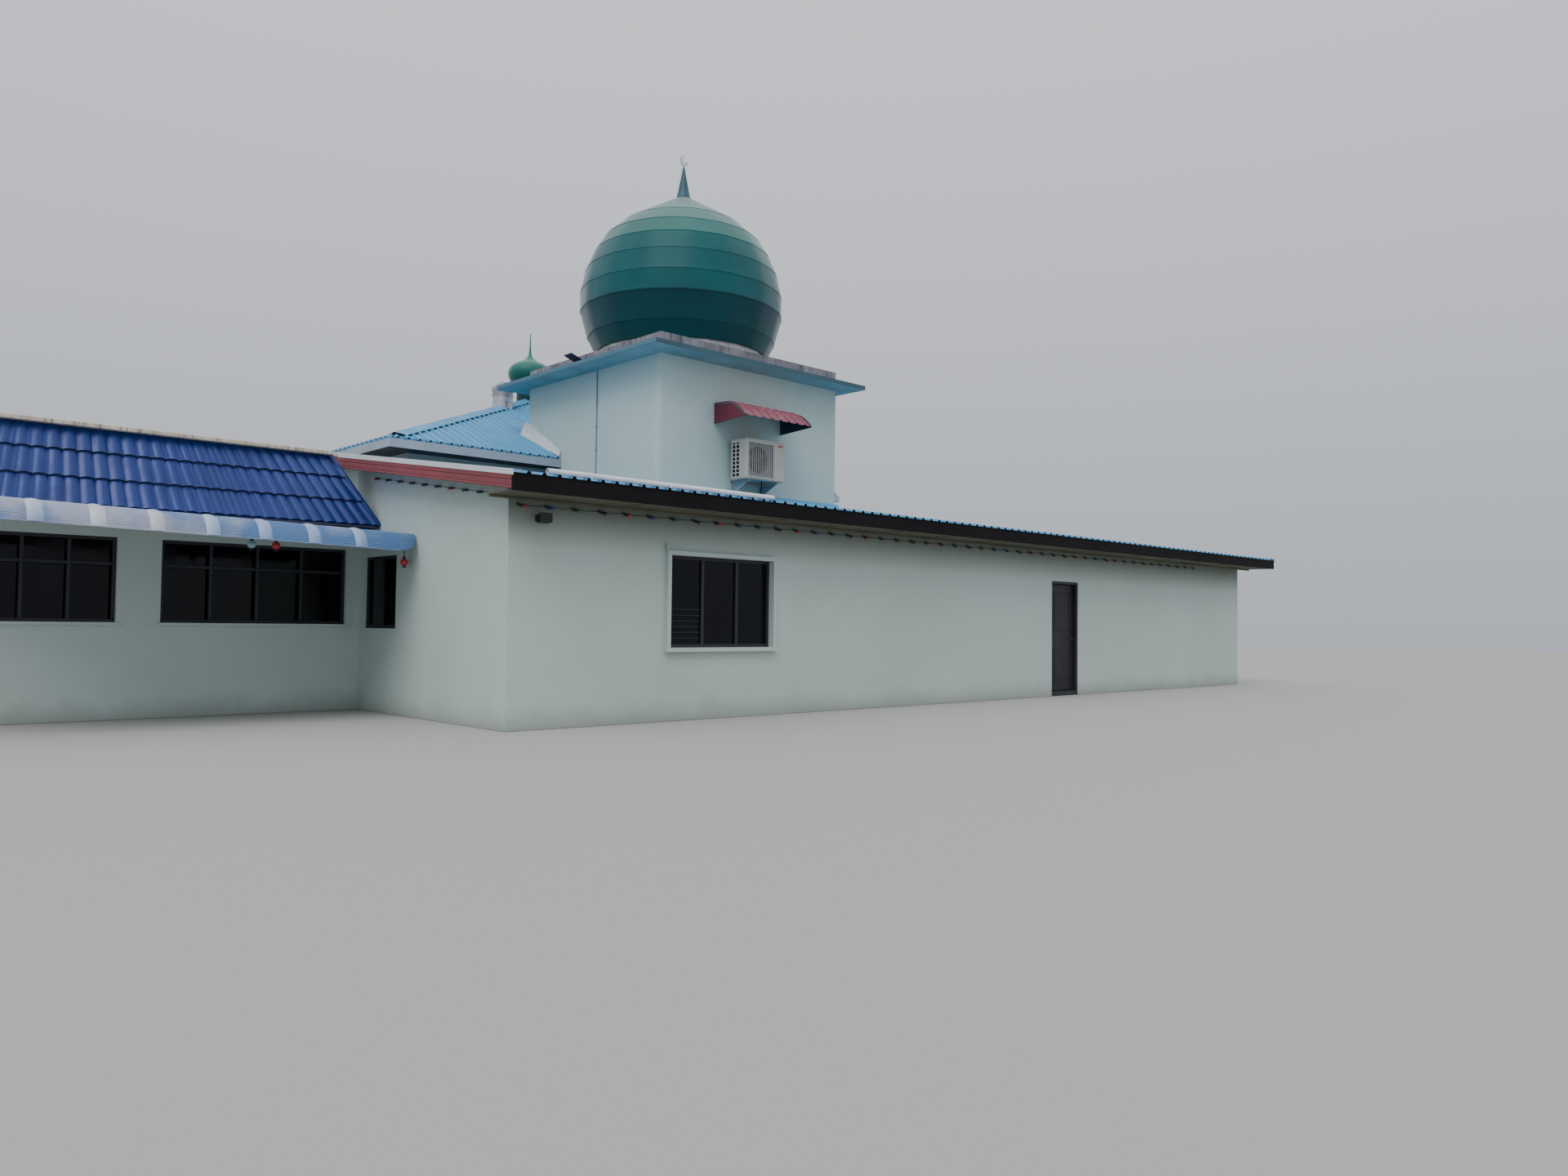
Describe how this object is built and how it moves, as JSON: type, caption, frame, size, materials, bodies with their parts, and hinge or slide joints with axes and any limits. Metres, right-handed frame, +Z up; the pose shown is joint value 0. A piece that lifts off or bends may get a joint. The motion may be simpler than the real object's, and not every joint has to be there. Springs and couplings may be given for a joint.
{
  "type": "mosque building",
  "caption": "Mosque with a long front wing under a lean-to roof, a square tower with a green onion dome, a hipped blue hall roof and a side wing with a blue tiled crown.",
  "frame": {"origin": "middle of the building's plan box, at ground level, on the underside of the floor slab", "axes": "+X to the right along the front wall, +Y from the front wall towards the hall at the back, +Z up"},
  "size_m": [25.6204, 13.3, 9.3106],
  "materials": {
    "plaster": "matt painted plaster, pale grey-green",
    "tower_plaster": "matt painted plaster, rain-streaked",
    "painted_slab": "painted concrete, teal, chipped",
    "raw_concrete": "bare weathered concrete",
    "curb": "painted cement ring",
    "dome_metal": "satin green sheet panels",
    "small_dome_metal": "satin green sheet",
    "spire_metal": "satin teal",
    "crescent_metal": "pale polished metal",
    "roof_sheet": "satin light-blue ribbed steel",
    "front_fascia": "dark brown painted board",
    "barge": "red-brown painted board",
    "soffit_board": "pale eave lining",
    "white_plastic": "white drain pipe",
    "gutter_metal": "light grey painted eave",
    "vent_metal": "bright vaned sheet",
    "floor": "smooth cement",
    "crown_tile": "satin blue step tiles",
    "canopy_sheet": "white and blue crimped sheet",
    "dark_frame": "dark painted frame",
    "glass": "dark tinted glass",
    "door_wood": "dark painted leaf",
    "unit_metal": "aged off-white enamel",
    "awning_sheet": "red ribbed sheet"
  },
  "bodies": {
    "building": {"floor_slab": "floor", "wing_front_wall_left": "plaster", "wing_front_wall_right": "plaster", "wing_door_lintel": "plaster", "wing_side_wall": "plaster", "wing_right_wall": "plaster", "wing_back_wall": "plaster", "lean_to_roof": "roof_sheet", "front_fascia": "front_fascia", "left_barge_board": "barge", "right_barge_board": "barge", "eave_soffit": "soffit_board", "eave_pipe": "white_plastic", "tower_shaft": "tower_plaster", "tower_roof_slab": "painted_slab", "tower_upstand": "raw_concrete", "dome_curb": "curb", "main_dome": "dome_metal", "dome_spire": "spire_metal", "dome_crescent": "crescent_metal", "hall_left_wall": "plaster", "hall_right_wall": "plaster", "hall_back_wall": "plaster", "hall_roof_front": "roof_sheet", "hall_roof_left": "roof_sheet", "hall_roof_right": "roof_sheet", "hall_roof_back": "roof_sheet", "hall_hip_caps": "roof_sheet", "hall_eave": "gutter_metal", "small_dome": "small_dome_metal", "vent_throat": "vent_metal", "left_wing_front_wall": "plaster", "left_wing_end_wall": "plaster", "left_wing_back_wall": "plaster", "left_wing_roof": "raw_concrete", "crown_front": "crown_tile", "crown_end": "crown_tile", "crown_back": "crown_tile", "canopy_sheet": "canopy_sheet", "door_frame": "dark_frame", "front_window_surround": "plaster", "front_window_frame": "dark_frame", "front_window_glass": "glass", "side_window_glass": "glass", "left_wing_glass": "glass", "hall_right_glass": "glass", "hall_back_glass": "glass", "wing_back_glass": "glass", "cooling_unit": "unit_metal", "unit_brackets": "unit_metal", "unit_awning": "awning_sheet"},
    "door": {"door_leaf": "door_wood"},
    "ventilator": {"vent_rotor": "vent_metal"}
  },
  "joints": [
    {"name": "door_hinge", "type": "hinge", "parent": "building", "child": "door", "pos_m": [4.46045, -5.911, 1.08], "axis": [0, 0, 1], "range_deg": [0, 90]},
    {"name": "ventilator_spin", "type": "hinge", "parent": "building", "child": "ventilator", "pos_m": [-2.78985, 1.41, 5.7], "axis": [0, 0, 1], "continuous": true}
  ]
}
